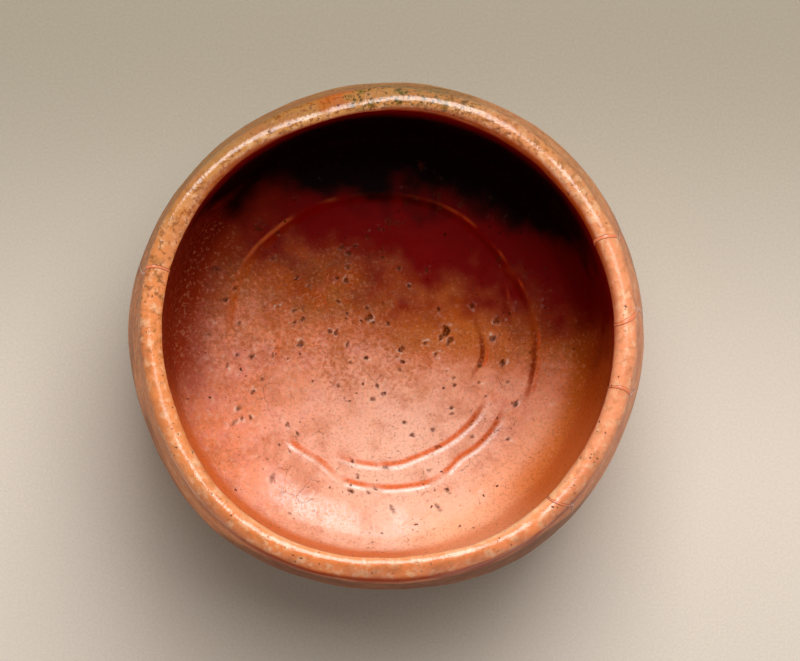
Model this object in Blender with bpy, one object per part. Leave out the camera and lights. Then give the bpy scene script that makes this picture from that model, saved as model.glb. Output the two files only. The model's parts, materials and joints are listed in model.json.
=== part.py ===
"""A hand-formed red raku tea bowl, glazed and mended with lacquer.

Metres, +Z up. The origin is the middle of the foot, on the plane that the foot stands on.
The clay is one lump with a carved foot. A coat of glaze lies over it inside and out, a second
pool of glaze lies in the well of the foot, and five lacquer mends fill old cracks in the lip.
All of them share one hand-shaping rule, so they stay parallel wherever the bowl is uneven.
"""

import math

import bmesh
import bpy
from mathutils import Vector

# Outside of the glazed bowl
BOWL_HEIGHT = 0.0840
BELLY_RADIUS = 0.0591
BELLY_LEVEL = 0.0470
HIP_RADIUS = 0.0545
HIP_LEVEL = 0.0165

# The lip, a half round between the two faces of the wall
LIP_RADIUS = 0.0530
LIP_WIDTH = 0.0052
LIP_WAVE = 0.0006

# Walls, measured through clay and glaze together
WALL_THICKNESS = 0.0064
HIP_THICKNESS = 0.0072
FLOOR_THICKNESS = 0.0066

# The tea pool in the floor, entered down a spiral step
POOL_RADIUS = 0.0365
POOL_DEPTH = 0.0017
POOL_EDGE = 0.0022
SPIRAL_START = math.radians(-14)
SPIRAL_TURNS = 2.15
SPIRAL_DRIFT = 0.0006
SPIRAL_TIGHTENING = 0.0027
SPIRAL_SOFTENING = 0.60
SPIRAL_END_STEP = 0.10
SPIRAL_FADE_IN = 0.08
SPIRAL_FADE_OUT = 0.15

# The foot, carved from the same clay
FOOT_RADIUS = 0.0270
FOOT_WIDTH = 0.0062
FOOT_HEIGHT = 0.0075
FOOT_FLARE = 0.0010
FOOT_FILLET = 0.0026
FOOT_ROUNDING = 0.0012
WELL_DEPTH = 0.0065
WELL_FILLET = 0.0024
WELL_PEAK_HEIGHT = 0.0012
WELL_PEAK_RADIUS = 0.0060

# Marks left where the bowl stood on kiln stilts
STILT_MARKS = 5
STILT_MARK_DEPTH = 0.0004
STILT_MARK_RADIUS = 0.0015

# Glaze, and the seam left between pieces that touch on the real bowl
GLAZE_THICKNESS = 0.0009
GLAZE_EDGE = 0.0024
SEAT_GAP = 0.0003

# Uneven places, each as its direction in degrees, its push outwards and its spread in degrees.
# A roll moves only the top of the lip.
BELLY_PUSHES = (
    (305, 0.0010, 15),
    (268, -0.0006, 14),
    (228, 0.0007, 12),
    (195, -0.0003, 12),
    (178, 0.0005, 12),
    (116, -0.0008, 22),
    (45, 0.0008, 14),
    (5, 0.0006, 24),
)
LIP_PUSHES = (
    (138, 0.0005, 15),
    (195, -0.0004, 13),
    (235, 0.0004, 17),
    (275, -0.0004, 13),
    (110, -0.0004, 12),
)
LIP_ROLLS = (
    (275, -0.0013, 18),
    (245, -0.0004, 14),
    (157, 0.0014, 14),
    (105, -0.0013, 13),
)
LIP_PEAKS = 5
LIP_LEAN = (-0.0003, -0.0009)

# Mends: name, direction at the inner and outer edge of the lip in degrees, width at each in
# metres, depth down the wall, and how far the crack wanders sideways on its way down
MENDS = (
    ("lacquer_mend_right_wide", 1.9, 5.4, 0.0007, 0.0022, 0.0250, 0.0012),
    ("lacquer_mend_right_upper", 24.8, 23.2, 0.0010, 0.0012, 0.0180, -0.0010),
    ("lacquer_mend_left", 163.3, 165.3, 0.0007, 0.0013, 0.0200, 0.0010),
    ("lacquer_mend_right_lower", 347.1, 346.9, 0.0006, 0.0017, 0.0130, -0.0008),
    ("lacquer_mend_front_right", 313.8, 317.3, 0.0006, 0.0009, 0.0160, 0.0010),
)
MEND_TIP_WIDTH = 0.0005
MEND_LEVELS = (0.0, 0.25, 0.5, 0.75, 1.0)

# How finely the round shapes are cut into flat faces
SEGMENTS = 42
LIP_STEPS = 6
CORNER_STEPS = 2

SKIN = GLAZE_THICKNESS + SEAT_GAP
FLOOR_LEVEL = WELL_DEPTH + FLOOR_THICKNESS
TOP_OF_BLADES = BOWL_HEIGHT + 4 * LIP_WAVE + LIP_WIDTH


def clear_scene():
    for old in list(bpy.data.objects):
        bpy.data.objects.remove(old, do_unlink=True)


def finish(name, colour, roughness):
    """A plain surface of one colour, for the piece that is named after it."""
    material = bpy.data.materials.new(name)
    material.use_nodes = True
    shader = material.node_tree.nodes["Principled BSDF"]
    shader.inputs["Base Color"].default_value = (*colour, 1.0)
    shader.inputs["Roughness"].default_value = roughness
    shader.inputs["Metallic"].default_value = 0.0
    return material


def ease(share):
    """Runs smoothly from 0 to 1 as the share does."""
    share = min(max(share, 0.0), 1.0)
    return share * share * (3.0 - 2.0 * share)


def mix(start, end, share):
    return start + (end - start) * share


def pushes_at(pushes, angle):
    """How far the hand pushed the wall out in this direction."""
    total = 0.0
    for direction, push, spread in pushes:
        apart = (math.degrees(angle) - direction + 180.0) % 360.0 - 180.0
        total += push * math.exp(-0.5 * (apart / spread) ** 2)
    return total


def spiral_radius(turn):
    """How far from the middle the spiral step runs, this many turns after its start."""
    return POOL_RADIUS - SPIRAL_DRIFT * turn - SPIRAL_TIGHTENING * turn**2


def pool_drop(radius, angle):
    """How far the floor has dropped here: a step down at each pass of the tightening spiral."""
    turn = ((angle - SPIRAL_START) / math.tau) % 1.0
    weights = SPIRAL_END_STEP
    dropped = weights * ease(0.5 + (spiral_radius(SPIRAL_TURNS) - radius) / POOL_EDGE)
    while turn < SPIRAL_TURNS:
        weight = ease(turn / SPIRAL_FADE_IN) * ease((SPIRAL_TURNS - turn) / SPIRAL_FADE_OUT)
        weight /= 1.0 + SPIRAL_SOFTENING * turn
        dropped += weight * ease(0.5 + (spiral_radius(turn) - radius) / POOL_EDGE)
        weights += weight
        turn += 1.0
    return POOL_DEPTH * dropped / weights


def shaped(radius, height, in_bowl, angle):
    """Moves a point of the round bowl to where the potter's hands left it."""
    belly = ease((height - FOOT_HEIGHT) / (BELLY_LEVEL - FOOT_HEIGHT))
    lip = ease((height - BELLY_LEVEL) / (BOWL_HEIGHT - BELLY_LEVEL))
    push = belly * (1.0 - 0.7 * lip) * pushes_at(BELLY_PUSHES, angle)
    push += lip * pushes_at(LIP_PUSHES, angle)
    top = ease((height - BOWL_HEIGHT + LIP_WIDTH / 2) / (LIP_WIDTH / 2))
    reach = radius + push * radius / BELLY_RADIUS + top * pushes_at(LIP_ROLLS, angle)
    wave = math.cos(LIP_PEAKS * angle) + 0.5 * math.cos(2.0 * angle + 1.0)
    rise = lip * LIP_WAVE * wave
    if in_bowl:
        rise -= pool_drop(radius, angle)
    return Vector(
        (
            reach * math.cos(angle) + lip * LIP_LEAN[0],
            reach * math.sin(angle) + lip * LIP_LEAN[1],
            height + rise,
        )
    )


def smooth_line(points):
    """A smooth line through points given as radius, height and the steps to the next one."""
    line = []
    places = [Vector(point[:2]) for point in points]
    last = len(places) - 1
    for index in range(last):
        before = places[max(index - 1, 0)]
        start = places[index]
        end = places[index + 1]
        after = places[min(index + 2, last)]
        steps = points[index][2]
        for step in range(steps):
            t = step / steps
            line.append(
                0.5
                * (
                    2.0 * start
                    + (end - before) * t
                    + (2.0 * before - 5.0 * start + 4.0 * end - after) * t**2
                    + (3.0 * start - before - 3.0 * end + after) * t**3
                )
            )
    line.append(places[last])
    return line


def arc(centre, radius, start, end, steps):
    """Points round a corner, between two angles in degrees."""
    line = []
    for step in range(steps + 1):
        angle = math.radians(mix(start, end, step / steps))
        line.append(centre + radius * Vector((math.cos(angle), math.sin(angle))))
    return line


def inset(line, depth):
    """The same line, moved square to itself by a depth: to its left where the depth is positive."""
    moved = []
    last = len(line) - 1
    for index, point in enumerate(line):
        along = (line[min(index + 1, last)] - line[max(index - 1, 0)]).normalized()
        if point.x == 0.0:
            along = Vector((math.copysign(1.0, along.x), 0.0))
        left = Vector((-along.y, along.x))
        place = point + left * depth
        if point.x == 0.0:
            place.x = 0.0
        moved.append(place)
    return moved


def outside_line():
    """The glazed outside, from the lower edge of the glaze up to the lip."""
    foot = FOOT_RADIUS + SKIN
    lip = LIP_RADIUS + LIP_WIDTH / 2
    under = foot + FOOT_FLARE + FOOT_FILLET
    turn = BOWL_HEIGHT - LIP_WIDTH / 2
    return smooth_line(
        [
            (foot + 0.5 * FOOT_FLARE, GLAZE_EDGE, 1),
            (foot + FOOT_FLARE, FOOT_HEIGHT - FOOT_FILLET, 2),
            (under, FOOT_HEIGHT, 2),
            (mix(under, HIP_RADIUS, 0.55), mix(FOOT_HEIGHT, HIP_LEVEL, 0.32), 2),
            (HIP_RADIUS, HIP_LEVEL, 2),
            (mix(HIP_RADIUS, BELLY_RADIUS, 0.72), mix(HIP_LEVEL, BELLY_LEVEL, 0.42), 2),
            (BELLY_RADIUS, BELLY_LEVEL, 2),
            (mix(BELLY_RADIUS, lip, 0.3), mix(BELLY_LEVEL, turn, 0.5), 2),
            (mix(BELLY_RADIUS, lip, 0.82), mix(BELLY_LEVEL, turn, 0.86), 1),
            (lip, turn, 1),
        ]
    )


def inside_line():
    """The glazed inside, from the lip down to the middle of the floor."""
    lip = LIP_RADIUS - LIP_WIDTH / 2
    turn = BOWL_HEIGHT - LIP_WIDTH / 2
    belly = BELLY_RADIUS - WALL_THICKNESS
    floor = FLOOR_LEVEL + POOL_DEPTH
    hip = (HIP_RADIUS - 0.55 * HIP_THICKNESS, HIP_LEVEL + 0.84 * HIP_THICKNESS)
    brink = POOL_RADIUS + POOL_EDGE
    rings = 8
    ring = (brink - 0.57 * POOL_RADIUS) / rings
    line = smooth_line(
        [
            (lip, turn, 1),
            (mix(belly, lip, 0.86), mix(BELLY_LEVEL, turn, 0.85), 2),
            (mix(belly, lip, 0.28), mix(BELLY_LEVEL, turn, 0.45), 2),
            (belly, BELLY_LEVEL, 2),
            (*hip, 2),
            (mix(brink, hip[0], 0.74), mix(floor, hip[1], 0.20), 1),
            (brink, floor, 1),
            (brink - ring, floor, 1),
        ]
    )
    line += [Vector((brink - ring * count, floor)) for count in range(2, rings + 1)]
    line += [Vector((0.28 * POOL_RADIUS, floor)), Vector((0.0, floor))]
    return line


def glazed_line():
    """The whole glazed surface in section, as one line from the foot to the middle of the floor."""
    outside = outside_line()
    inside = inside_line()
    middle = Vector((LIP_RADIUS, BOWL_HEIGHT - LIP_WIDTH / 2))
    lip = arc(middle, LIP_WIDTH / 2, 0, 180, LIP_STEPS)
    return outside[:-1] + lip + inside[1:], len(outside) - 1 + LIP_STEPS // 2


def well_line():
    """The glazed well of the foot, from its lower edge to the small peak in the middle."""
    side = FOOT_RADIUS - FOOT_WIDTH - SKIN
    return smooth_line(
        [
            (side, GLAZE_EDGE, 1),
            (side - 0.15 * WELL_FILLET, WELL_DEPTH - WELL_FILLET, 2),
            (side - WELL_FILLET, WELL_DEPTH, 1),
            (WELL_PEAK_RADIUS, WELL_DEPTH - 0.15 * WELL_PEAK_HEIGHT, 2),
            (0.0, WELL_DEPTH - WELL_PEAK_HEIGHT, 1),
        ]
    )


def marked(line, crest):
    """Adds to each point whether it lies inside the bowl, which starts past the crest of the lip."""
    return [(point.x, point.y, index > crest) for index, point in enumerate(line)]


def turned(name, line, finish_of_piece):
    """Turns a section that starts and ends on the axis into a closed, hand-shaped solid."""
    shape = bmesh.new()
    rings = []
    for radius, height, in_bowl in line:
        if radius == 0.0:
            rings.append([shape.verts.new(shaped(0.0, height, in_bowl, 0.0))])
            continue
        ring = []
        for segment in range(SEGMENTS):
            angle = math.tau * segment / SEGMENTS
            ring.append(shape.verts.new(shaped(radius, height, in_bowl, angle)))
        rings.append(ring)
    for lower, upper in zip(rings, rings[1:]):
        for segment in range(SEGMENTS):
            after = (segment + 1) % SEGMENTS
            if len(lower) > 1:
                shape.faces.new((lower[segment], lower[after], upper[after % len(upper)]))
            if len(upper) > 1:
                shape.faces.new((lower[segment % len(lower)], upper[after], upper[segment]))
    bmesh.ops.recalc_face_normals(shape, faces=shape.faces)
    return as_object(name, shape, finish_of_piece)


def as_object(name, shape, finish_of_piece):
    mesh = bpy.data.meshes.new(name)
    shape.to_mesh(mesh)
    shape.free()
    if finish_of_piece:
        mesh.materials.append(finish_of_piece)
    mesh.shade_smooth()
    mesh.set_sharp_from_angle(angle=math.radians(40))
    piece = bpy.data.objects.new(name, mesh)
    bpy.context.scene.collection.objects.link(piece)
    return piece


def guide(piece):
    """Marks a cutter or guide, which isn't part of the bowl."""
    piece.hide_render = True
    piece.display_type = "WIRE"
    return piece


def cut(piece, cutter, operation="DIFFERENCE"):
    boolean = piece.modifiers.new(cutter.name, "BOOLEAN")
    boolean.operation = operation
    boolean.solver = "EXACT"
    boolean.object = cutter


def add_blade(shape, mend, growth):
    """A blade through the wall where a crack ran: growth makes it wider all round and deeper."""
    _, inner_direction, outer_direction, inner_width, outer_width, depth, wander = mend
    inner_reach = LIP_RADIUS - LIP_WIDTH / 2
    outer_reach = LIP_RADIUS + LIP_WIDTH
    inner = Vector((math.cos(math.radians(inner_direction)), math.sin(math.radians(inner_direction))))
    outer = Vector((math.cos(math.radians(outer_direction)), math.sin(math.radians(outer_direction))))
    inner *= inner_reach
    outer *= outer_reach
    along = (outer - inner).normalized()
    across = Vector((-along.y, along.x))
    near = inner - along * LIP_WIDTH
    far = outer + along * (BELLY_RADIUS - LIP_RADIUS + LIP_WIDTH)
    levels = [(TOP_OF_BLADES + growth, 0.0)]
    levels += [(BOWL_HEIGHT - share * (depth + growth), share) for share in MEND_LEVELS]
    loops = []
    for height, share in levels:
        aside = across * wander * math.sin(1.4 * math.pi * share)
        near_half = mix(inner_width, MEND_TIP_WIDTH, share) / 2 + growth
        far_half = mix(outer_width, MEND_TIP_WIDTH, share) / 2 + growth
        corners = (
            near - across * near_half,
            far - across * far_half,
            far + across * far_half,
            near + across * near_half,
        )
        loops.append([shape.verts.new((*(corner + aside), height)) for corner in corners])
    for upper, lower in zip(loops, loops[1:]):
        for side in range(4):
            after = (side + 1) % 4
            shape.faces.new((upper[side], upper[after], lower[after], lower[side]))
    shape.faces.new(loops[0])
    shape.faces.new(list(reversed(loops[-1])))


def blades(name, mends, growth, finish_of_piece=None):
    shape = bmesh.new()
    for mend in mends:
        add_blade(shape, mend, growth)
    bmesh.ops.triangulate(shape, faces=shape.faces)
    bmesh.ops.recalc_face_normals(shape, faces=shape.faces)
    return as_object(name, shape, finish_of_piece)


def stilt_mark_cutter():
    """Small balls that press a shallow dimple into the foot where each stilt stood."""
    ball = (STILT_MARK_RADIUS**2 + STILT_MARK_DEPTH**2) / (2.0 * STILT_MARK_DEPTH)
    reach = FOOT_RADIUS - FOOT_WIDTH / 2
    shape = bmesh.new()
    for mark in range(STILT_MARKS):
        angle = math.pi / 2 + math.tau * mark / STILT_MARKS
        added = bmesh.ops.create_icosphere(shape, subdivisions=2, radius=ball)["verts"]
        place = Vector((reach * math.cos(angle), reach * math.sin(angle), STILT_MARK_DEPTH - ball))
        bmesh.ops.translate(shape, verts=added, vec=place)
    return guide(as_object("stilt_marks", shape, None))


def build():
    clear_scene()
    clay = finish("bisque_clay", (0.42, 0.17, 0.08), 0.85)
    glaze = finish("red_raku_glaze", (0.62, 0.19, 0.08), 0.22)
    lacquer = finish("vermilion_lacquer", (0.70, 0.16, 0.06), 0.35)

    surface, crest = glazed_line()
    glazed = marked(surface, crest)
    glaze_back = marked(inset(surface, GLAZE_THICKNESS), crest)
    clay_face = marked(inset(surface, SKIN), crest)

    well = well_line()
    well_back = inset(well, -GLAZE_THICKNESS)
    well_clay = inset(well, -SKIN)

    sole = arc(
        Vector((FOOT_RADIUS - FOOT_ROUNDING, FOOT_ROUNDING)), FOOT_ROUNDING, 0, -90, CORNER_STEPS
    )
    sole += arc(
        Vector((FOOT_RADIUS - FOOT_WIDTH + FOOT_ROUNDING, FOOT_ROUNDING)),
        FOOT_ROUNDING,
        -90,
        -180,
        CORNER_STEPS,
    )
    below = [(point.x, point.y, False) for point in sole + well_clay]

    clay_body = turned("clay_body", clay_face[::-1] + below, clay)
    glaze_coat = turned("glaze_coat", glaze_back[::-1] + glazed, glaze)
    well_section = [(point.x, point.y, False) for point in well_back[::-1] + well]
    turned("foot_well_glaze", well_section, glaze)

    bottom = [(0.0, GLAZE_EDGE, False)]
    whole_bowl = guide(turned("whole_bowl", bottom + glazed, None))
    slots = guide(blades("mend_slots", MENDS, SEAT_GAP))
    cut(clay_body, slots)
    cut(glaze_coat, slots)
    cut(clay_body, stilt_mark_cutter())
    for mend in MENDS:
        cut(blades(mend[0], [mend], 0.0, lacquer), whole_bowl, "INTERSECT")


build()
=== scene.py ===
# %% [markdown]
# # A red raku tea bowl
# A raku bowl is pinched and carved from one lump of clay, brushed with an ochre slip, covered in
# a clear lead glaze and pulled out of the kiln red-hot. This one has five old cracks, filled
# with vermilion lacquer. Everything here is built over a fixed model of the bowl in real metres,
# the frame, so the first step loads it.

import json
import math

import bpy
import numpy as np
from mathutils import Matrix, Vector, noise

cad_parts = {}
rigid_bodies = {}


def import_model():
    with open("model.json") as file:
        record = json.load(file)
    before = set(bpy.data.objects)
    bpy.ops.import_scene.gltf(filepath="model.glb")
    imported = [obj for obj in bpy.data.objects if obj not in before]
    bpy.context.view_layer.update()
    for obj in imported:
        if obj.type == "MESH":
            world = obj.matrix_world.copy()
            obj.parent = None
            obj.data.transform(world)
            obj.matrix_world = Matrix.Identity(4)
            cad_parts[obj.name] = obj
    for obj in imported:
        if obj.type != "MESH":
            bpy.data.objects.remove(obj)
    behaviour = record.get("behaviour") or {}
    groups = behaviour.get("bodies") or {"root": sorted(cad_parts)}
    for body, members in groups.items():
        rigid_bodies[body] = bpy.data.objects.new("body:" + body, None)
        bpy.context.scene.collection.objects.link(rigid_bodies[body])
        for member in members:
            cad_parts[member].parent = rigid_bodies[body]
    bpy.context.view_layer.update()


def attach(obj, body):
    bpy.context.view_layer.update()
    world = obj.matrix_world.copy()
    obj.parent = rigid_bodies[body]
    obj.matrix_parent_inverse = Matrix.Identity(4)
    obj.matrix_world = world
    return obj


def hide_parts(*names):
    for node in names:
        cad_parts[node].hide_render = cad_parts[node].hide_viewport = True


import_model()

# %% [markdown]
# ## The potter's sizes
# A thrown vase could be a lathe profile and nothing more. A pinched bowl is a profile too, but
# one that the hands pushed about, so the shape is kept in two halves: a section to turn, and a
# rule that bends every turned point in the same way. The sizes are real ones, in metres, and
# are those of the frame.

# %% Sizes of the section
BOWL_HEIGHT = 0.0840
BELLY_RADIUS = 0.0591
BELLY_LEVEL = 0.0470
HIP_RADIUS = 0.0545
HIP_LEVEL = 0.0165
LIP_RADIUS = 0.0530
LIP_WIDTH = 0.0052
WALL_THICKNESS = 0.0064
HIP_THICKNESS = 0.0072
FLOOR_THICKNESS = 0.0066
POOL_RADIUS = 0.0365
POOL_DEPTH = 0.0017
FOOT_RADIUS = 0.0270
FOOT_WIDTH = 0.0062
FOOT_HEIGHT = 0.0075
FOOT_FLARE = 0.0010
FOOT_FILLET = 0.0026
FOOT_ROUNDING = 0.0012
WELL_DEPTH = 0.0065
WELL_FILLET = 0.0024
WELL_PEAK_HEIGHT = 0.0012
WELL_PEAK_RADIUS = 0.0060
GLAZE_THICKNESS = 0.0009
GLAZE_EDGE = 0.0024
SEAT_GAP = 0.0003
SKIN = GLAZE_THICKNESS + SEAT_GAP
FLOOR_LEVEL = WELL_DEPTH + FLOOR_THICKNESS
POOL_EDGE = 0.0022

# %% [markdown]
# ## Drawing the section
# A smooth curve through a dozen points is easier to judge than a hundred points. The curve used
# here passes through every point it is given, so each one can be a size that was measured. The
# lip is a true half round, so it is an arc.

# %% Curves for the section
def mix(start, end, share):
    return start + (end - start) * share


def smooth_line(points, steps=40):
    """A smooth curve through all the points."""
    places = [Vector(point) for point in points]
    places = [places[0], *places, places[-1]]
    line = []
    for before, start, end, after in zip(places, places[1:], places[2:], places[3:]):
        for step in range(steps):
            t = step / steps
            bend = (2.0 * before - 5.0 * start + 4.0 * end - after) * t**2
            twist = (3.0 * start - before - 3.0 * end + after) * t**3
            line.append(0.5 * (2.0 * start + (end - before) * t + bend + twist))
    return [*line, places[-1]]


def respaced(line, spacing):
    """The same curve with its points about this far apart."""
    line = np.array([tuple(point) for point in line])
    run = np.append(0.0, np.cumsum(np.linalg.norm(np.diff(line, axis=0), axis=1)))
    places = np.linspace(0.0, run[-1], max(2, round(run[-1] / spacing) + 1))
    return np.stack([np.interp(places, run, line[:, side]) for side in (0, 1)], axis=1)


def arc(centre, radius, start, end, steps):
    """Points round a corner, between two angles in degrees."""
    angles = np.radians(np.linspace(start, end, steps + 1))
    return np.stack([centre[0] + radius * np.cos(angles), centre[1] + radius * np.sin(angles)], axis=1)


def inset(line, depth):
    """The same line moved square to itself, to its left where the depth is positive."""
    along = np.gradient(line, axis=0)
    along[line[:, 0] < 1e-6] = (np.sign(along[-1, 0]), 0.0)
    along /= np.linalg.norm(along, axis=1)[:, None]
    moved = line + depth * np.stack([-along[:, 1], along[:, 0]], axis=1)
    moved[line[:, 0] < 1e-6, 0] = 0.0
    return moved


# %% [markdown]
# The outside runs from the glaze's lower edge on the foot to the lip, and the inside from the
# lip to the middle of the floor. The points lie close together where the eye looks for detail:
# 0.4 mm on the floor, 0.3 mm over the lip, and 1.5 mm on the plain walls.

# %% The glazed section
WALL_SPACING = 0.0015
FLOOR_SPACING = 0.00038
LIP_STEPS = 24


def outside_line():
    foot = FOOT_RADIUS + SKIN
    lip = LIP_RADIUS + LIP_WIDTH / 2
    under = foot + FOOT_FLARE + FOOT_FILLET
    turn = BOWL_HEIGHT - LIP_WIDTH / 2
    return smooth_line(
        [
            (foot + 0.5 * FOOT_FLARE, GLAZE_EDGE),
            (foot + FOOT_FLARE, FOOT_HEIGHT - FOOT_FILLET),
            (under, FOOT_HEIGHT),
            (mix(under, HIP_RADIUS, 0.55), mix(FOOT_HEIGHT, HIP_LEVEL, 0.32)),
            (HIP_RADIUS, HIP_LEVEL),
            (mix(HIP_RADIUS, BELLY_RADIUS, 0.72), mix(HIP_LEVEL, BELLY_LEVEL, 0.42)),
            (BELLY_RADIUS, BELLY_LEVEL),
            (mix(BELLY_RADIUS, lip, 0.3), mix(BELLY_LEVEL, turn, 0.5)),
            (mix(BELLY_RADIUS, lip, 0.82), mix(BELLY_LEVEL, turn, 0.86)),
            (lip, turn),
        ]
    )


def inside_line():
    lip = LIP_RADIUS - LIP_WIDTH / 2
    turn = BOWL_HEIGHT - LIP_WIDTH / 2
    belly = BELLY_RADIUS - WALL_THICKNESS
    floor = FLOOR_LEVEL + POOL_DEPTH
    hip = (HIP_RADIUS - 0.55 * HIP_THICKNESS, HIP_LEVEL + 0.84 * HIP_THICKNESS)
    brink = POOL_RADIUS + POOL_EDGE
    return smooth_line(
        [
            (lip, turn),
            (mix(belly, lip, 0.86), mix(BELLY_LEVEL, turn, 0.85)),
            (mix(belly, lip, 0.28), mix(BELLY_LEVEL, turn, 0.45)),
            (belly, BELLY_LEVEL),
            hip,
            (mix(brink, hip[0], 0.74), mix(floor, hip[1], 0.20)),
            (brink, floor),
        ]
    )


def glazed_section(wall_spacing, floor_spacing, lip_steps):
    outside = respaced(outside_line(), wall_spacing)
    middle = (LIP_RADIUS, BOWL_HEIGHT - LIP_WIDTH / 2)
    lip = arc(middle, LIP_WIDTH / 2, 0, 180, lip_steps)
    inside = respaced(inside_line(), wall_spacing)
    brink = inside[-1]
    floor = respaced([brink, (0.0, brink[1])], floor_spacing)
    return np.concatenate([outside[:-1], lip, inside[1:], floor[1:]])


surface = glazed_section(WALL_SPACING, FLOOR_SPACING, LIP_STEPS)
print("The glazed section has", len(surface), "points")

# %% [markdown]
# ## The hand-shaping rule
# The outline in the photograph bulges where the spatula left a ridge and dips between, and the
# lip rises and falls in five low peaks. It could be sculpted, but then the clay, the glaze and
# the mends would each need it again. So each push is a short formula on the angle round the
# bowl, and all of them bend alike.

# %% Where the hands pushed the clay
# Direction in degrees, how far the clay moves outwards, and its spread in degrees
BELLY_PUSHES = (
    (305, 0.0010, 15),
    (268, -0.0006, 14),
    (228, 0.0007, 12),
    (195, -0.0003, 12),
    (178, 0.0005, 12),
    (116, -0.0008, 22),
    (45, 0.0008, 14),
    (5, 0.0006, 24),
)
LIP_PUSHES = (
    (138, 0.0005, 15),
    (195, -0.0004, 13),
    (235, 0.0004, 17),
    (275, -0.0004, 13),
    (110, -0.0004, 12),
)
# The same for how far the top of the lip alone rolls outwards
LIP_ROLLS = ((275, -0.0013, 18), (245, -0.0004, 14), (157, 0.0014, 14), (105, -0.0013, 13))
LIP_WAVE = 0.0006
LIP_PEAKS = 5
LIP_LEAN = (-0.0003, -0.0009)

# %% [markdown]
# The floor drops into the tea pool by a gentle slope and by six short steps that the tool cut.
# A step starts and ends at no depth, and its upper edge wanders, so each is a list of stations
# with a smooth curve through them.

# %% Where the tool cut the floor
# Direction in degrees, radius of the upper edge in millimetres, and how deep the step is there
STEPS = (
    (
        (-24, 38.4, 0.0), (-14, 38.2, 0.8), (0, 37.9, 1.3), (10, 37.6, 1.5), (20, 36.6, 1.4),
        (30, 35.8, 1.2), (45, 35.7, 1.0), (60, 36.0, 1.0), (90, 35.8, 1.0), (105, 36.1, 1.0),
        (120, 36.7, 1.1), (135, 37.3, 1.0), (145, 38.0, 0.8), (160, 37.9, 0.6), (172, 37.7, 0.3),
        (186, 37.5, 0.0),
    ),
    (
        (226, 33.4, 0.0), (233, 33.2, 1.3), (240, 33.0, 1.7), (247, 33.9, 1.6), (252, 35.1, 1.5),
        (260, 35.6, 1.2), (270, 36.0, 1.1), (280, 36.3, 1.1), (293, 36.3, 1.1), (298, 35.5, 1.2),
        (303, 34.6, 1.3), (312, 34.9, 1.3), (322, 35.0, 1.0), (330, 34.7, 0.4), (336, 34.5, 0.0),
    ),
    (
        (246, 30.2, 0.0), (256, 30.5, 0.4), (270, 30.6, 0.7), (280, 30.5, 0.8), (285, 30.1, 0.9),
        (295, 29.8, 0.9), (310, 29.9, 0.8), (322, 29.9, 0.6), (332, 29.7, 0.0),
    ),
    (
        (-24, 24.4, 0.0), (-17, 24.8, 0.5), (-8, 25.7, 0.7), (0, 25.3, 0.6), (8, 24.6, 0.4),
        (16, 24.2, 0.0),
    ),
    ((6, 32.4, 0.0), (12, 32.5, 0.4), (18, 32.4, 0.5), (25, 33.0, 0.3), (31, 33.2, 0.0)),
    ((174, 26.0, 0.0), (182, 26.2, 0.4), (190, 26.7, 0.4), (198, 27.0, 0.0)),
)
STEP_WIDTH = 0.0020
SLOPE_SHARE = 0.4
SLOPE_START = 0.0400
SLOPE_END = 0.0140
print("The floor has", len(STEPS), "short steps")

# %% [markdown]
# The rule itself takes a point of the turned bowl, by its radius, height and angle, and gives
# the place where the potter left it. It works on whole arrays, because Blender's own loops over
# a hundred thousand points are slow.


# %% The rule
def ease(share):
    """A share from 0 to 1 that starts and stops softly."""
    share = np.clip(share, 0.0, 1.0)
    return share * share * (3.0 - 2.0 * share)


def pushes_at(pushes, angle):
    """How far all these pushes together move the clay at each angle."""
    total = np.zeros_like(angle)
    for direction, push, spread in pushes:
        apart = (np.degrees(angle) - direction + 180.0) % 360.0 - 180.0
        total += push * np.exp(-0.5 * (apart / spread) ** 2)
    return total


def smooth_through(knots, values, at):
    """The height of a smooth curve through the values at their knots."""
    slopes = np.gradient(values, knots)
    start = np.clip(np.searchsorted(knots, at) - 1, 0, len(knots) - 2)
    gap = knots[start + 1] - knots[start]
    t = np.clip((at - knots[start]) / gap, 0.0, 1.0)
    rise = values[start + 1] - values[start]
    ends = t * (1.0 - t) ** 2 * slopes[start] - t**2 * (1.0 - t) * slopes[start + 1]
    return values[start] + rise * t * t * (3.0 - 2.0 * t) + gap * ends


def along_steps(radius, angle):
    """For each step, its depth this way, and how far down its face a point lies, from 0 to 1."""
    for step in STEPS:
        directions, edges, depths = np.array(step).T
        onward = (np.degrees(angle) - directions[0]) % 360.0 + directions[0]
        depth = np.interp(onward, directions, depths)
        yield depth, (0.001 * smooth_through(directions, edges, onward) - radius) / STEP_WIDTH


def pool_drop(radius, angle):
    """How far the floor has dropped by the gentle slope and the short steps."""
    total = np.full_like(radius, SLOPE_SHARE)
    dropped = SLOPE_SHARE * ease((SLOPE_START - radius) / (SLOPE_START - SLOPE_END))
    for depth, inward in along_steps(radius, angle):
        inward = np.clip(inward, 0.0, 1.0)
        dropped += depth * inward**2 * (2.0 - inward)
        total += depth
    return POOL_DEPTH * dropped / total


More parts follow.
